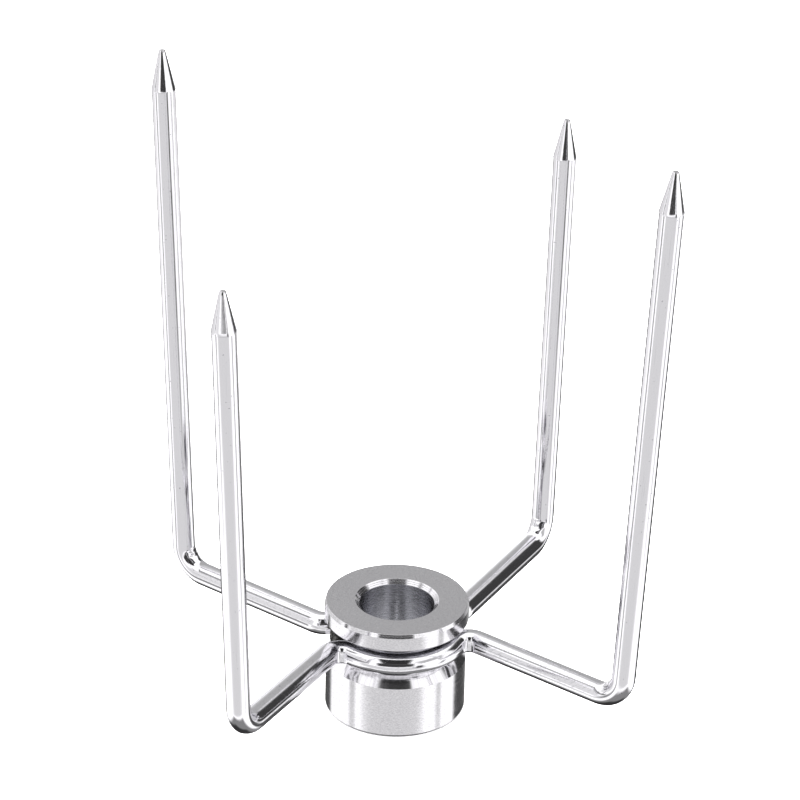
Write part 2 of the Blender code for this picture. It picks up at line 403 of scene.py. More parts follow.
class Recipe:
    """A material's node tree, with short ways to add nodes and join them."""

    def __init__(self, name: str) -> None:
        """Starts a material with one Principled shader."""
        self.material = bpy.data.materials.new(name)
        self.material.use_nodes = True
        self.tree = self.material.node_tree
        self.shader = self.tree.nodes["Principled BSDF"]

    def add(self, kind: str, **settings: object) -> bpy.types.Node:
        """Adds a node.

        Args:
            kind: The node's type, without its prefix.
            **settings: Its properties by name.

        Returns:
            The node.
        """
        node = self.tree.nodes.new("ShaderNode" + kind)
        for name, value in settings.items():
            setattr(node, name, value)
        return node

    def feed(self, socket: bpy.types.NodeSocket, value: object) -> None:
        """Links a socket to an output, or sets it to a plain value."""
        if isinstance(value, bpy.types.NodeSocket):
            self.tree.links.new(value, socket)
        else:
            socket.default_value = value

    def math(self, operation: str, first: object, second: object = 0.0) -> bpy.types.NodeSocket:
        """The result of a Math node on two values or outputs."""
        node = self.add("Math", operation=operation)
        self.feed(node.inputs[0], first)
        self.feed(node.inputs[1], second)
        return node.outputs[0]

    def vector(self, operation: str, first: object, second: object = (1.0, 1.0, 1.0)) -> bpy.types.NodeSocket:
        """The vector result of a Vector Math node on two values or outputs."""
        node = self.add("VectorMath", operation=operation)
        self.feed(node.inputs[0], first)
        self.feed(node.inputs[1], second)
        return node.outputs["Vector"]

    def grain(self, place: object, scale: float, detail: float = 2.0, roughness: float = 0.5) -> bpy.types.NodeSocket:
        """Noise at a place.

        Args:
            place: The output that gives the place.
            scale: Its frequency.
            detail: Its octaves.
            roughness: How strong its finer octaves are.

        Returns:
            Values round one half.
        """
        node = self.add("TexNoise")
        self.feed(node.inputs["Vector"], place)
        node.inputs["Scale"].default_value = scale
        node.inputs["Detail"].default_value = detail
        node.inputs["Roughness"].default_value = roughness
        return node.outputs["Fac"]

    def ramp(self, value: object, low: float, high: float, to_low: float, to_high: float) -> bpy.types.NodeSocket:
        """A value carried from one range to another, and held inside it."""
        node = self.add("MapRange", interpolation_type="SMOOTHSTEP")
        self.feed(node.inputs["Value"], value)
        for name, number in zip(("From Min", "From Max", "To Min", "To Max"), (low, high, to_low, to_high)):
            node.inputs[name].default_value = number
        return node.outputs["Result"]

    def tint(self, share: object, dark: tuple[float, float, float], pale: tuple[float, float, float]) -> bpy.types.NodeSocket:
        """A colour between two others."""
        node = self.add("Mix", data_type="RGBA")
        self.feed(node.inputs["Factor"], share)
        node.inputs["A"].default_value = (*dark, 1.0)
        node.inputs["B"].default_value = (*pale, 1.0)
        return node.outputs["Result"]

    def relief(self, height: object, strength: float, depth: float, below: object = None) -> bpy.types.NodeSocket:
        """The normal of a bumpy surface.

        Args:
            height: The output that gives the height.
            strength: The bump's strength.
            depth: Its depth in metres.
            below: The normal of a coarser relief under it.

        Returns:
            The normal.
        """
        node = self.add("Bump")
        node.inputs["Strength"].default_value = strength
        node.inputs["Distance"].default_value = depth
        self.feed(node.inputs["Height"], height)
        if below is not None:
            self.feed(node.inputs["Normal"], below)
        return node.outputs["Normal"]

    def finish(self, colour: object, roughness: object, normal: object, **sockets: float) -> bpy.types.Material:
        """Sets the shader's main sockets.

        Args:
            colour: The base colour.
            roughness: The roughness.
            normal: The normal.
            **sockets: Constants by socket name, with _ for a space.

        Returns:
            The material.
        """
        self.feed(self.shader.inputs["Base Color"], colour)
        self.feed(self.shader.inputs["Roughness"], roughness)
        self.feed(self.shader.inputs["Normal"], normal)
        for name, value in sockets.items():
            self.shader.inputs[name.replace("_", " ")].default_value = value
        return self.material


@dataclass(frozen=True)
class TurnedSteel:
    """Bare steel from the lathe, with rings of fine tool marks round the Z axis. The bore and the neck under the flange
    are rougher, and painted darker as painted shade of these recesses.
    """

    name: str = "turned_steel"
    pale: tuple[float, float, float] = (0.87, 0.86, 0.885)
    dark: tuple[float, float, float] = (0.60, 0.59, 0.62)
    # painted shade: the darker colour laid in the bore and on the neck under the flange, standing in for the shade in
    # these recesses
    bore: tuple[float, float, float] = (0.62, 0.62, 0.65)
    roughness: float = 0.14
    streak: float = 0.05
    mark_pitch: float = 0.22 * MM
    mark_depth: float = 0.003 * MM
    anisotropy: float = 0.75
    bore_radius: float = 11.25 * MM
    groove: tuple[float, float] = (20.3 * MM, 30.0 * MM)
    centre: tuple[float, float, float] = (0.0, 0.0, 0.0)
    tilt: float = 0.0

    def make(self) -> bpy.types.Material:
        """Builds the material.

        Returns:
            The material.
        """
        recipe = Recipe(self.name)
        place = recipe.add("TexCoord").outputs["Object"]
        if self.tilt:
            moved = recipe.vector("SUBTRACT", place, self.centre)
            turned = recipe.add("VectorRotate", rotation_type="X_AXIS")
            recipe.feed(turned.inputs["Vector"], moved)
            turned.inputs["Angle"].default_value = self.tilt
            place = turned.outputs["Vector"]
        flat = recipe.vector("MULTIPLY", place, (1.0, 1.0, 0.0))
        length = recipe.add("VectorMath", operation="LENGTH")
        recipe.feed(length.inputs[0], flat)
        radius = length.outputs["Value"]
        split = recipe.add("SeparateXYZ")
        recipe.feed(split.inputs[0], place)
        across = recipe.math("ADD", radius, split.outputs["Z"])
        direction = recipe.vector("NORMALIZE", flat)
        lift = recipe.add("CombineXYZ")
        recipe.feed(lift.inputs["Z"], recipe.math("MULTIPLY", across, 1.0 / self.mark_pitch))
        rings = recipe.vector("ADD", recipe.vector("MULTIPLY", direction, (0.7, 0.7, 0.0)), lift.outputs[0])
        marks = recipe.grain(rings, 1.0, 2.0, 0.5)
        chatter = recipe.vector("ADD", recipe.vector("MULTIPLY", direction, (34.0, 34.0, 0.0)), lift.outputs[0])
        specks = recipe.grain(chatter, 1.0, 2.0, 0.6)
        pits = recipe.ramp(recipe.grain(place, 1500.0, 1.0), 0.74, 0.80, 0.0, 1.0)
        streaks = recipe.ramp(marks, 0.25, 0.75, -self.streak, self.streak)
        rough = recipe.math("ADD", streaks, self.roughness)
        # mask of the bore and of the neck under the flange, where the extra roughness and the painted shade go
        inside = recipe.ramp(radius, self.bore_radius, self.bore_radius + 0.1 * MM, 1.0, 0.0)
        if not self.tilt:
            above = recipe.math("GREATER_THAN", split.outputs["Z"], self.groove[0])
            below = recipe.math("LESS_THAN", split.outputs["Z"], self.groove[1])
            inside = recipe.math("MAXIMUM", inside, recipe.math("MULTIPLY", above, below))
        rough = recipe.math("ADD", rough, recipe.math("MULTIPLY", inside, 0.11))
        normal = recipe.relief(marks, 0.5, self.mark_depth)
        normal = recipe.relief(specks, 0.35, self.mark_depth, normal)
        normal = recipe.relief(pits, -0.5, 0.02 * MM, normal)
        worn = recipe.math("ADD", recipe.ramp(specks, 0.35, 0.65, 0.0, 0.55), pits)
        colour = recipe.tint(worn, self.pale, self.dark)
        # painted shade: the bore and the neck under the flange take the darker bore colour
        painted_recess_shade = recipe.add("Mix", data_type="RGBA")
        recipe.feed(painted_recess_shade.inputs["Factor"], inside)
        recipe.feed(painted_recess_shade.inputs["A"], colour)
        painted_recess_shade.inputs["B"].default_value = (*self.bore, 1.0)
        colour = painted_recess_shade.outputs["Result"]
        tangent = recipe.add("Tangent", direction_type="RADIAL", axis="Y" if self.tilt else "Z")
        recipe.feed(recipe.shader.inputs["Tangent"], tangent.outputs["Tangent"])
        return recipe.finish(
            colour, rough, normal, Metallic=1.0, Anisotropic=self.anisotropy, Anisotropic_Rotation=0.25
        )


@dataclass(frozen=True)
class PolishedWire:
    """Bright drawn wire: fine lines along it, a few deeper scratches and small pits."""

    name: str = "polished_wire"
    pale: tuple[float, float, float] = (0.865, 0.855, 0.885)
    dark: tuple[float, float, float] = (0.46, 0.455, 0.49)
    roughness: float = 0.07
    jaw_marks: tuple[tuple[float, float], tuple[float, float]] = ((0.140, 0.150), (0.280, 0.290))

    def make(self) -> bpy.types.Material:
        """Builds the material.

        Returns:
            The material.
        """
        recipe = Recipe(self.name)
        place = recipe.add("Attribute", attribute_name=WIRE_SPACE).outputs["Vector"]
        drawn = recipe.vector("MULTIPLY", place, (2600.0, 2600.0, 45.0))
        lines = recipe.grain(drawn, 1.0, 3.0, 0.65)
        skewed = recipe.add("VectorRotate", rotation_type="AXIS_ANGLE")
        recipe.feed(skewed.inputs["Vector"], place)
        skewed.inputs["Axis"].default_value = (0.6, 0.8, 0.0)
        skewed.inputs["Angle"].default_value = math.radians(38.0)
        slanted = recipe.vector("MULTIPLY", skewed.outputs["Vector"], (2800.0, 2800.0, 260.0))
        scratches = recipe.ramp(recipe.grain(slanted, 1.0, 2.0, 0.6), 0.52, 0.66, 0.0, 1.0)
        patches = recipe.ramp(recipe.grain(place, 110.0, 2.0), 0.42, 0.62, 0.0, 1.0)
        pits = recipe.ramp(recipe.grain(place, 1500.0, 0.0), 0.81, 0.85, 0.0, 1.0)
        deep = recipe.ramp(lines, 0.60, 0.74, 0.0, 1.0)
        split = recipe.add("SeparateXYZ")
        recipe.feed(split.inputs[0], place)
        past_tine = recipe.ramp(split.outputs["Z"], *self.jaw_marks[0], 0.0, 1.0)
        before_tine = recipe.ramp(split.outputs["Z"], *self.jaw_marks[1], 1.0, 0.0)
        gripped = recipe.math("MULTIPLY", past_tine, before_tine)
        hatch = recipe.math("MULTIPLY", scratches, recipe.math("ADD", recipe.math("MULTIPLY", gripped, 0.5), 0.06))
        marred = recipe.math("ADD", hatch, recipe.math("MULTIPLY", deep, recipe.math("MULTIPLY", patches, 0.5)))
        rough = recipe.math("ADD", recipe.math("MULTIPLY", marred, 0.12), self.roughness)
        rough = recipe.math("ADD", rough, recipe.ramp(lines, 0.3, 0.7, 0.0, 0.06))
        normal = recipe.relief(lines, 0.6, 0.012 * MM)
        normal = recipe.relief(marred, -0.6, 0.02 * MM, normal)
        normal = recipe.relief(pits, -0.5, 0.03 * MM, normal)
        worn = recipe.math("ADD", recipe.math("MULTIPLY", marred, 0.6), pits)
        colour = recipe.tint(worn, self.pale, self.dark)
        return recipe.finish(colour, rough, normal, Metallic=1.0)


@dataclass(frozen=True)
class WeldMetal:
    """Rippled weld with a little heat colour, near-black partly for the weld's own dark tone and partly as painted
    shade of the gap between the wires.
    """

    name: str = "weld_metal"
    # painted shade in part: this near-black stands for the weld's own dark tone and for the shade in the gap between
    # the wires
    dark: tuple[float, float, float] = (0.03, 0.03, 0.03)
    pale: tuple[float, float, float] = (0.16, 0.155, 0.15)

    def make(self) -> bpy.types.Material:
        """Builds the material.

        Returns:
            The material.
        """
        recipe = Recipe(self.name)
        place = recipe.add("TexCoord").outputs["Object"]
        crust = recipe.grain(place, 900.0, 4.0, 0.6)
        colour = recipe.tint(recipe.ramp(crust, 0.4, 0.65, 0.0, 1.0), self.dark, self.pale)
        rough = recipe.ramp(crust, 0.3, 0.7, 0.62, 0.34)
        return recipe.finish(colour, rough, recipe.relief(crust, 0.6, 0.05 * MM), Metallic=1.0)


@dataclass(frozen=True)
class PaleFloor:
    """A plain matt white sweep."""

    name: str = "pale_floor"
    colour: tuple[float, float, float] = (0.93, 0.93, 0.93)

    def make(self) -> bpy.types.Material:
        """Builds the material.

        Returns:
            The material.
        """
        recipe = Recipe(self.name)
        place = recipe.add("TexCoord").outputs["Object"]
        tooth = recipe.grain(place, 700.0, 2.0)
        shade_of_white = recipe.tint(tooth, tuple(c * 0.99 for c in self.colour), self.colour)
        return recipe.finish(shade_of_white, 0.9, recipe.relief(tooth, 0.02, 0.02 * MM))


# ---------------------------------------------------------------------------------------------
# The hub


@dataclass
class Hub:
    """The turned collar and neck, and the flange ring that stands on the neck."""

    bore_radius: float = 11.2 * MM
    neck_radius: float = 14.7 * MM
    collar_height: float = 16.7 * MM
    collar_chamfer: float = 3.5 * MM
    base_chamfer: float = 0.8 * MM
    flange_thickness: float = 5.5 * MM
    flange_bevel: float = 0.35 * MM
    flange_bevel_drop: float = 1.2 * MM
    bore_chamfer: float = 1.3 * MM
    bore_marks: int = 3
    edge: float = 0.12 * MM
    seam: float = 0.04 * MM
    screw_hole_radius: float = 4.2 * MM
    screw_hole_sink: float = 0.7 * MM
    lathe: Lathe = Lathe()

    def body_outline(self) -> Outline:
        """The collar and neck, from the neck's top outer corner down and back up the bore.

        Returns:
            The outline's points.
        """
        low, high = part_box("hub_body")
        radius = high.x
        shoulder = radius - self.collar_chamfer
        floor = self.collar_height + self.collar_chamfer
        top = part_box("top_flange_ring")[0].z - self.seam
        return round_corners(
            [
                (self.neck_radius, top, self.edge / 2),
                (self.neck_radius, floor, 0.5 * MM),
                (shoulder, floor, self.edge),
                (radius, self.collar_height, self.edge),
                (radius, low.z + self.base_chamfer, self.edge),
                (radius - self.base_chamfer, low.z, self.edge),
                (self.bore_radius + self.base_chamfer, low.z, self.edge),
                (self.bore_radius, low.z + self.base_chamfer, self.edge),
                (self.bore_radius, top, self.edge / 3),
            ]
        )

    def make_body(self, metal: bpy.types.Material) -> bpy.types.Object:
        """Turns the hub body and drills the countersunk hole for the clamp screw.

        Args:
            metal: Its finish.

        Returns:
            The piece.
        """
        body = self.lathe.turn("hub_body_turned", self.body_outline())
        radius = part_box("hub_body")[1].x
        hole = self.screw_hole_radius
        drill_outline = [
            (0.0, radius + MM),
            (hole + self.screw_hole_sink + MM, radius + MM),
            (hole, radius - self.screw_hole_sink),
            (hole, self.bore_radius / 2),
            (0.0, self.bore_radius / 2),
        ]
        drill = Lathe(64).turn("drill", drill_outline, closed=False)
        place_in_mesh(drill, Vector((0.0, 0.0, self.collar_height / 2)), (-math.pi / 2, 0.0, 0.0))
        cut_away(body, drill)
        shade(body, 13.0)
        return hand_over(body, Body.FORK, Slot.HUB, metal, "hub_body")

    def ring_outline(self) -> Outline:
        """The flange ring, with the coarse steps that the chamfering tool left in the bore's mouth.

        Returns:
            The outline's points.
        """
        low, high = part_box("top_flange_ring")
        radius = high.x
        ceiling = high.z - self.flange_thickness
        corners = [
            (radius - self.flange_bevel, high.z, self.edge),
            (radius, high.z - self.flange_bevel_drop, self.edge),
            (radius, ceiling, 0.3 * MM),
            (self.neck_radius, ceiling, 0.4 * MM),
            (self.neck_radius, low.z, self.edge / 2),
            (self.bore_radius, low.z, self.edge / 3),
            (self.bore_radius, high.z - self.bore_chamfer, 0.0),
        ]
        step = self.bore_chamfer / self.bore_marks
        groove = 0.05 * MM
        for i in range(1, self.bore_marks):
            across, height = self.bore_radius + step * i, high.z - self.bore_chamfer + step * i
            corners.append((across - groove, height - groove, 0.0))
            corners.append((across + groove, height - groove, 0.0))
            corners.append((across + groove, height + groove, 0.0))
        corners.append((self.bore_radius + self.bore_chamfer, high.z, self.edge))
        return round_corners(corners)

    def make_ring(self, metal: bpy.types.Material) -> bpy.types.Object:
        """Turns the flange ring.

        Args:
            metal: Its finish.

        Returns:
            The piece.
        """
        ring = self.lathe.turn("flange_ring_turned", self.ring_outline())
        shade(ring, 13.0)
        return hand_over(ring, Body.FORK, Slot.HUB, metal, "top_flange_ring")

    def build(self) -> None:
        """Makes and dresses both pieces."""
        steel = TurnedSteel().make()
        self.make_body(steel)
        self.make_ring(steel)


# ---------------------------------------------------------------------------------------------
# The forks


def plan_point(radius: float, azimuth: float, height: float) -> Vector:
    """The point at this radius, azimuth and height."""
    return Vector((radius * math.sin(azimuth), -radius * math.cos(azimuth), height))


@dataclass(frozen=True)
class HandBend:
    """How far, in millimetres, hand bending left a tine's foot and tip from where they are meant to be."""

    foot: tuple[float, float, float]
    tip: tuple[float, float, float]


@dataclass
class ForkWires:
    """The two bent and ground wires, each bent by hand, the rear one turned half round."""

    wire_radius: float = 3.5 * MM
    wrap_radius: float = 18.5 * MM
    wrap_azimuth: float = math.radians(48.0)
    tine_circle_radius: float = 74.7 * MM
    tine_azimuth: float = math.radians(49.0)
    tine_splay: float = math.radians(2.3)
    arm_azimuth: float = math.radians(40.8)
    neck_corner_radius: float = 4.8 * MM
    foot_bend_radius: float = 8.5 * MM
    point_length: float = 12.0 * MM
    point_flat: float = 0.95 * MM
    burr: float = 0.1 * MM
    burr_run: float = 0.16 * MM
    short_by: float = 27.1 * MM
    pin_radius: float = 1.8 * MM
    wrinkle: float = 0.14 * MM
    front_strays: tuple[HandBend, HandBend] = (
        HandBend((0.7, -0.15, 1.5), (-0.15, 0.0, 0.15)),
        HandBend((0.1, 0.0, -0.5), (0.25, 0.0, -0.5)),
    )
    rear_strays: tuple[HandBend, HandBend] = (
        HandBend((-0.4, 0.1, 0.7), (0.7, -0.15, -0.8)),
        HandBend((0.0, 0.0, 0.6), (-0.2, 0.0, 0.9)),
    )

    def heights(self) -> tuple[float, float]:
        """The arms' height and the long tine's length, from the frame.

        Returns:
            Both in metres.
        """
        low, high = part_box("front_fork_wire")
        arms = low.z + self.wire_radius
        return arms, high.z - arms

    def point_profile(self) -> list[tuple[float, float]]:
        """The ground point as (distance from the tip, radius) pairs, from the tip.

        Returns:
            The rings of the cone, with the grinding steps at its base.
        """
        base = self.wire_radius + self.burr
        rings = [(0.0, self.point_flat * 0.55), (0.10 * MM, self.point_flat * 0.9), (0.35 * MM, self.point_flat * 1.08)]
        slope = (base - self.point_flat) / self.point_length
        for i in range(1, 13):
            distance = self.point_length * i / 13
            if distance > 0.6 * MM:
                rings.append((distance, self.point_flat + slope * distance))
        rings.append((self.point_length, base))
        rings.append((self.point_length + 0.06 * MM, base))
        rings.append((self.point_length + self.burr_run, self.wire_radius))
        return rings

    def grind_in(self, bender: WireBender) -> None:
        """Draws the point at the wire's start, from its tip."""
        rings = self.point_profile()
        bender.start(rings[0][1])
        for (before, _), (distance, radius) in zip(rings, rings[1:]):
            bender.run(distance - before)
            bender.swell(radius)

    def grind_out(self, bender: WireBender) -> None:
        """Draws the point at the wire's end, up to its tip."""
        rings = self.point_profile()[::-1]
        for (before, _), (distance, radius) in zip(rings, rings[1:]):
            bender.run(before - distance)
            bender.swell(radius)

    def bend_wire(
        self, name: str, strays: tuple[HandBend, HandBend]
    ) -> tuple[WireBender, list[Vector], list[tuple[Vector, Vector]]]:
        """Bends a wire as at the front, from the short tine on the -X side to the long one on the +X side.

        Args:
            name: The piece's name.
            strays: How far hand bending left the two tines from their places.

        Returns:
            The bender, the centres of the bends beside the neck, and the (centre, corner) of the feet's bends.
        """
        level, long_tine = self.heights()
        feet, tips = [], []
        for side, length, stray in zip((-1, 1), (long_tine - self.short_by, long_tine), strays):
            foot = plan_point(self.tine_circle_radius, side * self.tine_azimuth, level)
            lean = UP + plan_point(1.0, side * self.tine_azimuth, 0.0) * math.tan(self.tine_splay)
            tips.append(foot + lean * length + Vector(stray.tip) * MM)
            feet.append(foot + Vector(stray.foot) * MM)
        corners = [self.neck_corner(side, level) for side in (-1, 1)]
        wrap_start = plan_point(self.wrap_radius, -self.wrap_azimuth, level)
        heading = (feet[0] - tips[0]).normalized()
        bender = WireBender(name, tips[0].copy(), heading, heading.orthogonal().normalized())
        self.grind_in(bender)
        pins: list[Vector] = []
        foot_bends: list[tuple[Vector, Vector]] = []
        centre = bender.run_and_turn(feet[0], corners[0], self.foot_bend_radius, 40, 28)
        foot_bends.append((centre, feet[0]))
        pins.append(bender.run_and_turn(corners[0], wrap_start, self.neck_corner_radius, 14, 30))
        bender.run((wrap_start - bender.place).length, 3)
        bender.bend(Vector((0.0, 0.0, level)), UP, 2 * self.wrap_azimuth, 40)
        pins.append(bender.run_and_turn(corners[1], feet[1], self.neck_corner_radius, 3, 30))
        centre = bender.run_and_turn(feet[1], tips[1], self.foot_bend_radius, 14, 28)
        foot_bends.append((centre, feet[1]))
        rest = (tips[1] - bender.place).length - self.point_length - self.burr_run
        bender.run(rest, 48)
        self.grind_out(bender)
        bender.finish()
        return bender, pins, foot_bends

    def neck_corner(self, side: int, level: float) -> Vector:
        """Where the run that leaves the neck would meet the line of the arm.

        Args:
            side: 1 on the +X side and -1 on the other.
            level: The height of the wire's centre.

        Returns:
            The corner.
        """
        foot = plan_point(self.tine_circle_radius, side * self.tine_azimuth, level)
        leaves = plan_point(self.wrap_radius, side * self.wrap_azimuth, level)
        along = plan_point(1.0, side * (self.wrap_azimuth + math.pi / 2), 0.0)
        arm = plan_point(1.0, side * self.arm_azimuth, 0.0)
        return leaves + along * (foot - leaves).cross(arm).z / along.cross(arm).z

    def wrinkle_bends(self, wire: bpy.types.Object, foot_bends: list[tuple[Vector, Vector]]) -> None:
        """Presses the small wrinkles that bending leaves on the inner side of a foot.

        Args:
            wire: The wire.
            foot_bends: The (centre, corner) of each bend.
        """
        for centre, corner in foot_bends:
            inner = (centre - corner).normalized()
            for vertex in wire.data.vertices:
                away = vertex.co - centre
                distance = away.length
                reach = self.foot_bend_radius - self.wire_radius
                if distance > reach * 1.6:
                    continue
                share = max(0.0, 1.0 - (distance - reach) / (reach * 0.6))
                swing = away.normalized().dot(-inner)
                ripple = math.sin(away.z / MM * 3.6) * max(0.0, swing)
                vertex.co += away.normalized() * self.wrinkle * share * share * ripple

    def press_pins(self, wire: bpy.types.Object, pins: list[Vector]) -> None:
        """Presses the bending pin's mark into the inner side of each bend beside the neck.

        Args:
            wire: The wire.
            pins: The pins' centres.
        """
        for pin in pins:
            bpy.ops.object.select_all(action="DESELECT")
            bpy.ops.mesh.primitive_cylinder_add(
                vertices=64, radius=self.pin_radius, depth=4 * self.wire_radius, location=pin
            )
            cut_away(wire, bpy.context.object)

    def make_wire(self, name: str, strays: tuple[HandBend, HandBend]) -> bpy.types.Object:
        """Bends a wire and marks it as the tools do.

        Args:
            name: The piece's name.
            strays: How far hand bending left the two tines from their places.

        Returns:
            The wire, as at the front.
        """
        bender, pins, foot_bends = self.bend_wire(name, strays)
        self.wrinkle_bends(bender.obj, foot_bends)
        self.press_pins(bender.obj, pins)
        bender.unroll()
        shade(bender.obj, 30.0)
        return bender.obj

    def build(self) -> None:
        """Makes and dresses both wires."""
        steel = PolishedWire().make()
        front = self.make_wire("front_wire_bent", self.front_strays)
        hand_over(front, Body.FORK, Slot.WIRE, steel, "front_fork_wire")
        rear = self.make_wire("rear_wire_bent", self.rear_strays)
        place_in_mesh(rear, Vector((0.0, 0.0, 0.0)), (0.0, 0.0, math.pi))
        hand_over(rear, Body.FORK, Slot.WIRE, steel, "rear_fork_wire")


@dataclass
class Welds:
    """The two beads that fill the gaps between the wires and hold them to the neck."""

    ripple: float = 0.16 * MM
    ripple_pitch: float = 1.1 * MM
    lump: float = 0.35 * MM

    def bead(self, name: str, node: str) -> bpy.types.Object:
        """Lays one bead in its node's box.

        Args:
            name: The piece's name.
            node: The frame's node that it stands for.

        Returns:
            The bead.
        """
        low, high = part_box(node)
        centre = (low + high) / 2
        half = (high - low) / 2
        bpy.ops.object.select_all(action="DESELECT")
        bpy.ops.mesh.primitive_ico_sphere_add(subdivisions=6, radius=1.0, location=(0.0, 0.0, 0.0))
        obj = bpy.context.object
        obj.name = name
        bpy.ops.object.mode_set(mode="EDIT")
        bpy.ops.mesh.select_all(action="SELECT")
        bpy.ops.transform.resize(value=half * 0.94)
        bpy.ops.object.mode_set(mode="OBJECT")
        for vertex in obj.data.vertices:
            place = vertex.co.copy()
            out = Vector((place.x / half.x**2, place.y / half.y**2, place.z / half.z**2)).normalized()
            rings = math.cos(place.y / self.ripple_pitch * math.tau + 9.0 * place.z * place.z / (half.z * half.z) * 0.4)
            lumps = noise.noise((place + centre) / (2.2 * MM))
            vertex.co = place + out * (self.ripple * rings + self.lump * lumps)
        place_in_mesh(obj, centre, (0.0, 0.0, 0.0))
        return obj

    def build(self) -> None:
        """Makes and dresses both beads."""
        metal = WeldMetal().make()
        for side in ("left", "right"):
            bead = self.bead(f"{side}_weld_rippled", f"{side}_weld_bead")
            shade(bead, 60.0)
            hand_over(bead, Body.FORK, Slot.WELD, metal, f"{side}_weld_bead")


# ---------------------------------------------------------------------------------------------
# The clamp screw


@dataclass
class ClampScrew:
    """The threaded stud through the collar's rear wall, and the knurled head fixed on it."""

    stud_radius: float = 4.0 * MM
    pitch: float = 1.25 * MM
    thread_depth: float = 0.68 * MM
    crest: float = 0.16 * MM
    tip_length: float = 2.0 * MM
    tip_radius: float = 2.9 * MM
    end_edge: float = 0.6 * MM
    head_edge: float = 0.8 * MM
    head_neck_radius: float = 5.6 * MM
    head_neck_length: float = 2.0 * MM
    socket_wall: float = 2.0 * MM
    gap: float = 0.3 * MM
    teeth: int = 44
    tooth_depth: float = 0.42 * MM
    lay_down: tuple[float, float, float] = (-math.pi / 2, 0.0, 0.0)

    def axis_height(self) -> Vector:
        """The screw axis's place above the origin."""
        low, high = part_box("clamp_screw_head")
        return Vector((0.0, 0.0, (low.z + high.z) / 2))

    def make_stud(self, metal: bpy.types.Material) -> bpy.types.Object:
        """Cuts the thread and trims it to the stud's turned outline.

        Args:
            metal: Its finish.

        Returns:
            The piece.
        """
        low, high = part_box("clamp_screw_stud")
        root = self.stud_radius - self.thread_depth
        turns = math.ceil((high.y - low.y) / self.pitch) + 4
        tooth = [
            (root, 0.0),
            (root, self.crest),
            (self.stud_radius, self.pitch / 2 - self.crest / 2 + self.crest / 4),
            (self.stud_radius, self.pitch / 2 + self.crest / 2 + self.crest / 4),
            (root, self.pitch),
        ]
        stud = Lathe().draw("clamp_stud_threaded", tooth)
        apply_modifier(
            stud, "SCREW", steps=64, render_steps=64, screw_offset=self.pitch, iterations=turns,
            use_merge_vertices=True, merge_threshold=0.001 * MM, use_smooth_shade=False,
        )
        bpy.ops.object.mode_set(mode="EDIT")
        for height, outer in ((self.pitch * 1.2, False), (self.pitch * (turns - 0.2), True)):
            bpy.ops.mesh.select_all(action="SELECT")
            bpy.ops.mesh.bisect(
                plane_co=(0.0, 0.0, height), plane_no=UP, use_fill=True, clear_inner=not outer, clear_outer=outer
            )
        bpy.ops.mesh.select_all(action="SELECT")
        bpy.ops.mesh.normals_make_consistent(inside=False)
        bpy.ops.object.mode_set(mode="OBJECT")
        place_in_mesh(stud, Vector((0.0, 0.0, low.y - self.pitch * 1.6)), (0.0, 0.0, 0.0))
        shoulder = low.y + self.tip_length
        envelope = [
            (0.0, high.y),
            (self.stud_radius - self.end_edge, high.y),
            (self.stud_radius, high.y - self.end_edge),
            (self.stud_radius, shoulder + self.stud_radius - self.tip_radius),
            (self.tip_radius, shoulder),
            (self.tip_radius, low.y + self.end_edge / 2),
            (self.tip_radius - self.end_edge / 2, low.y),
            (0.0, low.y),
        ]
        cut_away(stud, Lathe(96).turn("envelope", envelope, closed=False), keep_common=True)
        place_in_mesh(stud, self.axis_height(), self.lay_down)
        shade(stud, 25.0)
        return hand_over(stud, Body.STUD, Slot.SCREW, metal, "clamp_screw_stud")

    def make_head(self, metal: bpy.types.Material) -> bpy.types.Object:
        """Turns the head and presses the straight knurl into its grip.

        Args:
            metal: Its finish.

        Returns:
            The piece.
        """
        low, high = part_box("clamp_screw_head")
        radius = (high.x - low.x) / 2
        edge = 0.15 * MM
        grip = low.y + self.head_neck_length
        socket = self.stud_radius + self.gap
        socket_end = high.y - self.socket_wall
        corners = [
            (radius * 0.45, high.y - 0.35 * MM, 0.0),
            (radius * 0.55, high.y, edge),
            (radius - self.head_edge, high.y, edge),
            (radius, high.y - self.head_edge, edge),
            (radius, grip + self.head_edge, edge),
            (radius - self.head_edge, grip, edge),
            (self.head_neck_radius, grip, 0.3 * MM),
            (self.head_neck_radius, low.y, edge),
            (socket, low.y, edge),
            (socket, socket_end, 0.0),
        ]
        outline = [(0.0, high.y - 0.35 * MM), *round_corners(corners), (0.0, socket_end)]
        head = Lathe(self.teeth * 6).turn("clamp_head_knurled", outline, closed=False)
        bpy.ops.object.mode_set(mode="EDIT")
        bpy.ops.mesh.select_all(action="DESELECT")
        shape = bmesh.from_edit_mesh(head.data)
        for vertex in shape.verts:
            sixth = round(math.atan2(vertex.co.y, vertex.co.x) / math.tau * self.teeth * 6) % 6
            reach = math.hypot(vertex.co.x, vertex.co.y)
            vertex.select = sixth in (2, 3, 4) and reach > radius - self.head_edge * 0.7
        shape.select_flush_mode()
        bmesh.update_edit_mesh(head.data)
        ratio = 1.0 - self.tooth_depth / radius
        bpy.ops.transform.resize(value=(ratio, ratio, 1.0), center_override=(0.0, 0.0, 0.0))
        bpy.ops.object.mode_set(mode="OBJECT")
        place_in_mesh(head, self.axis_height(), self.lay_down)
        shade(head, 22.0)
        return hand_over(head, Body.HEAD, Slot.SCREW, metal, "clamp_screw_head")

    def build(self) -> None:
        """Makes and dresses the stud and the head."""
        metal = TurnedSteel(
            name="plated_screw_steel", pale=(0.72, 0.73, 0.76), dark=(0.56, 0.57, 0.60), roughness=0.26,
            mark_pitch=0.12 * MM, anisotropy=0.5, bore_radius=0.0, centre=tuple(self.axis_height()),
            tilt=math.pi / 2,
        ).make()
        self.make_stud(metal)
        self.make_head(metal)


# ---------------------------------------------------------------------------------------------
# The studio


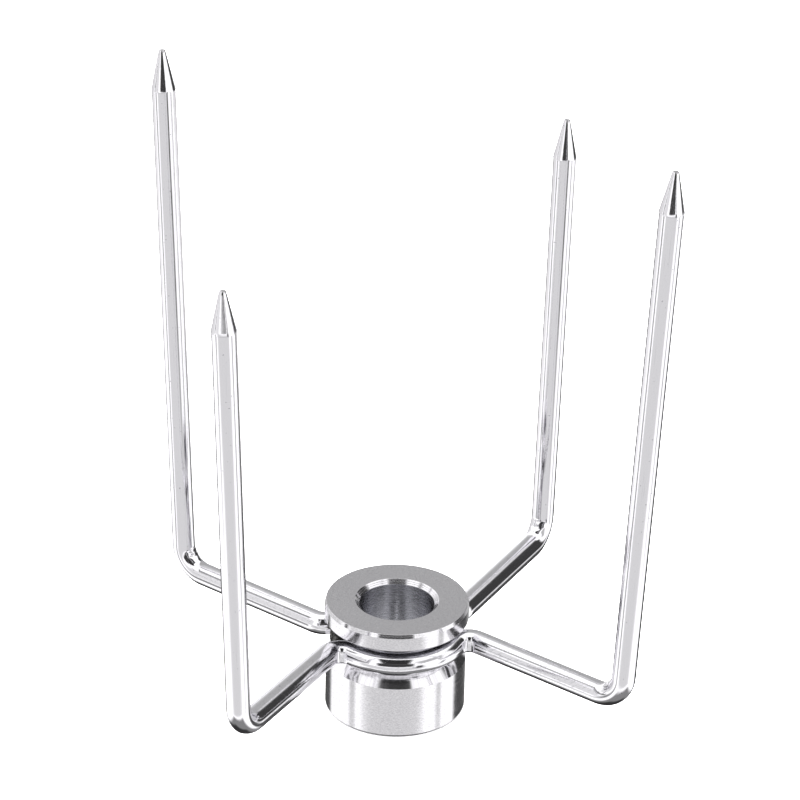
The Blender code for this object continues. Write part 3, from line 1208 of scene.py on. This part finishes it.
@dataclass(frozen=True)
class Panel:
    """A soft-edged panel of the studio, far off. Angles are in degrees, azimuth from the camera's side."""

    azimuth: float
    elevation: float
    half_width: float
    half_height: float
    level: float
    softness: float = 4.0


@dataclass
class Studio:
    """The floor, the light and the camera."""

    camera_azimuth: float = math.radians(-12.38)
    camera_elevation: float = math.radians(26.59)
    camera_roll: float = math.radians(1.36)
    camera_distance: float = 1.0408
    camera_aim: tuple[float, float, float] = (0.0082, 0.0398, 0.0812)
    lens: float = 155.03
    floor_size: float = 3.0
    white: float = 1.35
    backdrop: float = 1.0
    panels: tuple[Panel, ...] = (
        Panel(-122, -4, 30, 22, 0.82, 7),
        Panel(-4, -27, 46, 16, 0.76, 5),
        Panel(-74, -24, 5, 8, 0.28, 3),
        Panel(76, -24, 4.5, 8, 0.42, 3),
        Panel(36, -13, 5, 10, 0.05, 2.5),
        Panel(170, 30, 22, 34, 0.46, 6),
        Panel(-166, 34, 5, 24, 0.68, 6),
        Panel(122, 10, 25, 28, 0.05, 5),
        Panel(56, 26, 20, 11, 0.55, 5),
        Panel(0, 10, 27, 15, 0.05, 3),
        Panel(0, 45, 20, 22, 0.03, 3),
        Panel(-60, 10, 15, 22, 0.84, 5),
        Panel(-81, 18, 3.5, 32, 0.16, 2.0),
        Panel(180, -20, 42, 10, 0.55, 5),
        Panel(171, -40, 46, 11, 0.08, 4),
        Panel(0, -90, 38, 38, 0.26, 6),
        Panel(-160, -72, 24, 22, 0.04, 6),
        Panel(180, -34, 3.0, 12, 3.5, 2.0),
    )

    def direction(self, azimuth: float, elevation: float) -> Vector:
        """The direction at this azimuth from the camera's side and this elevation, in degrees."""
        turned, raised = self.camera_azimuth + math.radians(azimuth), math.radians(elevation)
        return plan_point(math.cos(raised), turned, math.sin(raised))

    def make_camera(self) -> None:
        """Sets up the camera."""
        back = plan_point(math.cos(self.camera_elevation), self.camera_azimuth, math.sin(self.camera_elevation))
        right = Vector((math.cos(self.camera_azimuth), math.sin(self.camera_azimuth), 0.0))
        turn = Quaternion(back, self.camera_roll)
        right.rotate(turn)
        above = back.cross(right)
        bpy.ops.object.camera_add(location=Vector(self.camera_aim) + back * self.camera_distance)
        camera = bpy.context.object
        camera.name = "front_camera"
        camera.rotation_euler = Matrix((right, above, back)).transposed().to_euler()
        camera.data.lens = self.lens
        camera.data.clip_start, camera.data.clip_end = 0.05, 20.0
        bpy.context.scene.camera = camera

    def make_floor(self) -> None:
        """Lays the floor, which the metals don't mirror, because the studio's panels stand for it."""
        bpy.ops.object.select_all(action="DESELECT")
        bpy.ops.mesh.primitive_plane_add(size=self.floor_size, location=(0.0, 0.0, -0.02 * MM))
        floor = bpy.context.object
        floor.name = "pale_floor"
        bpy.ops.object.transform_apply(location=True, rotation=True, scale=True)
        floor.data.materials.append(PaleFloor().make())
        floor.visible_glossy = False

    def make_light(self) -> None:
        """Hangs the broad soft light that whitens the floor."""
        bpy.ops.object.light_add(type="AREA", location=(0.0, 0.0, 1.2))
        light = bpy.context.object
        light.name = "overhead_softbox"
        light.data.shape = "DISK"
        light.data.size = 3.0
        light.data.energy = 120.0
        light.visible_glossy = False
        light.visible_camera = False

    def make_world(self) -> None:
        """Surrounds the scene with the studio's panels, behind a plain backdrop that the metals don't mirror."""
        world = bpy.data.worlds.new("studio")
        bpy.context.scene.world = world
        world.use_nodes = True
        tree = world.node_tree
        background = tree.nodes["Background"]
        heading = tree.nodes.new("ShaderNodeTexCoord").outputs["Generated"]
        value: object = self.white
        for panel in self.panels:
            value = self.over(tree, value, self.mask(tree, heading, panel), panel.level)
        backdrop = tree.nodes.new("ShaderNodeLightPath").outputs["Is Camera Ray"]
        value = self.over(tree, value, backdrop, self.backdrop)
        colour = tree.nodes.new("ShaderNodeCombineColor")
        for name in ("Red", "Green", "Blue"):
            tree.links.new(value, colour.inputs[name])
        tree.links.new(colour.outputs[0], background.inputs["Color"])

    def over(self, tree: bpy.types.NodeTree, below: object, mask: object, level: float) -> bpy.types.NodeSocket:
        """Lays a level over what is below it.

        Args:
            tree: The node tree.
            below: A number or an output.
            mask: The output that says where the level shows.
            level: The level.

        Returns:
            The output of both together.
        """
        mix = tree.nodes.new("ShaderNodeMix")
        tree.links.new(mask, mix.inputs[0])
        if isinstance(below, bpy.types.NodeSocket):
            tree.links.new(below, mix.inputs[2])
        else:
            mix.inputs[2].default_value = below
        mix.inputs[3].default_value = level
        return mix.outputs[0]

    def mask(self, tree: bpy.types.NodeTree, heading: object, panel: Panel) -> bpy.types.NodeSocket:
        """Where a panel is seen: one inside it and zero outside.

        Args:
            tree: The node tree.
            heading: The output that gives the direction looked in.
            panel: The panel.

        Returns:
            The mask's output.
        """
        facing = self.direction(panel.azimuth, panel.elevation)
        right = self.direction(panel.azimuth + 90.0, 0.0)
        above = right.cross(facing)
        ahead = self.part_along(tree, heading, facing)
        inside = self.step(tree, ahead, 0.02, 0.10, 0.0, 1.0)
        for across, half in ((right, panel.half_width), (above, panel.half_height)):
            share = self.combine(tree, "DIVIDE", self.part_along(tree, heading, across), ahead)
            size = self.combine(tree, "ABSOLUTE", share, share)
            low = math.tan(math.radians(max(half - panel.softness, 0.05)))
            high = math.tan(math.radians(half + panel.softness))
            inside = self.combine(tree, "MULTIPLY", inside, self.step(tree, size, low, high, 1.0, 0.0))
        return inside

    def part_along(self, tree: bpy.types.NodeTree, heading: object, axis: Vector) -> bpy.types.NodeSocket:
        """How much of the direction looked in lies along an axis."""
        dot = tree.nodes.new("ShaderNodeVectorMath")
        dot.operation = "DOT_PRODUCT"
        tree.links.new(heading, dot.inputs[0])
        dot.inputs[1].default_value = axis
        return dot.outputs["Value"]

    def combine(self, tree: bpy.types.NodeTree, operation: str, first: object, second: object) -> bpy.types.NodeSocket:
        """The result of a Math node on two outputs."""
        node = tree.nodes.new("ShaderNodeMath")
        node.operation = operation
        tree.links.new(first, node.inputs[0])
        tree.links.new(second, node.inputs[1])
        return node.outputs[0]

    def step(
        self, tree: bpy.types.NodeTree, value: object, low: float, high: float, to_low: float, to_high: float
    ) -> bpy.types.NodeSocket:
        """A soft step from one level to another."""
        node = tree.nodes.new("ShaderNodeMapRange")
        node.interpolation_type = "SMOOTHSTEP"
        tree.links.new(value, node.inputs["Value"])
        for name, number in zip(("From Min", "From Max", "To Min", "To Max"), (low, high, to_low, to_high)):
            node.inputs[name].default_value = number
        return node.outputs["Result"]

    def build(self) -> None:
        """Makes the camera, the floor and the light."""
        self.make_camera()
        self.make_floor()
        self.make_light()
        self.make_world()
        bpy.context.scene.view_settings.view_transform = "Standard"
        LOG.info("studio: %d panels", len(self.panels))


def main() -> None:
    """Builds the studio and every piece of the fork."""
    logging.basicConfig(level=logging.INFO, format="%(name)s %(message)s")
    Studio().build()
    Hub().build()
    ForkWires().build()
    Welds().build()
    ClampScrew().build()


if __name__ == "__main__":
    main()
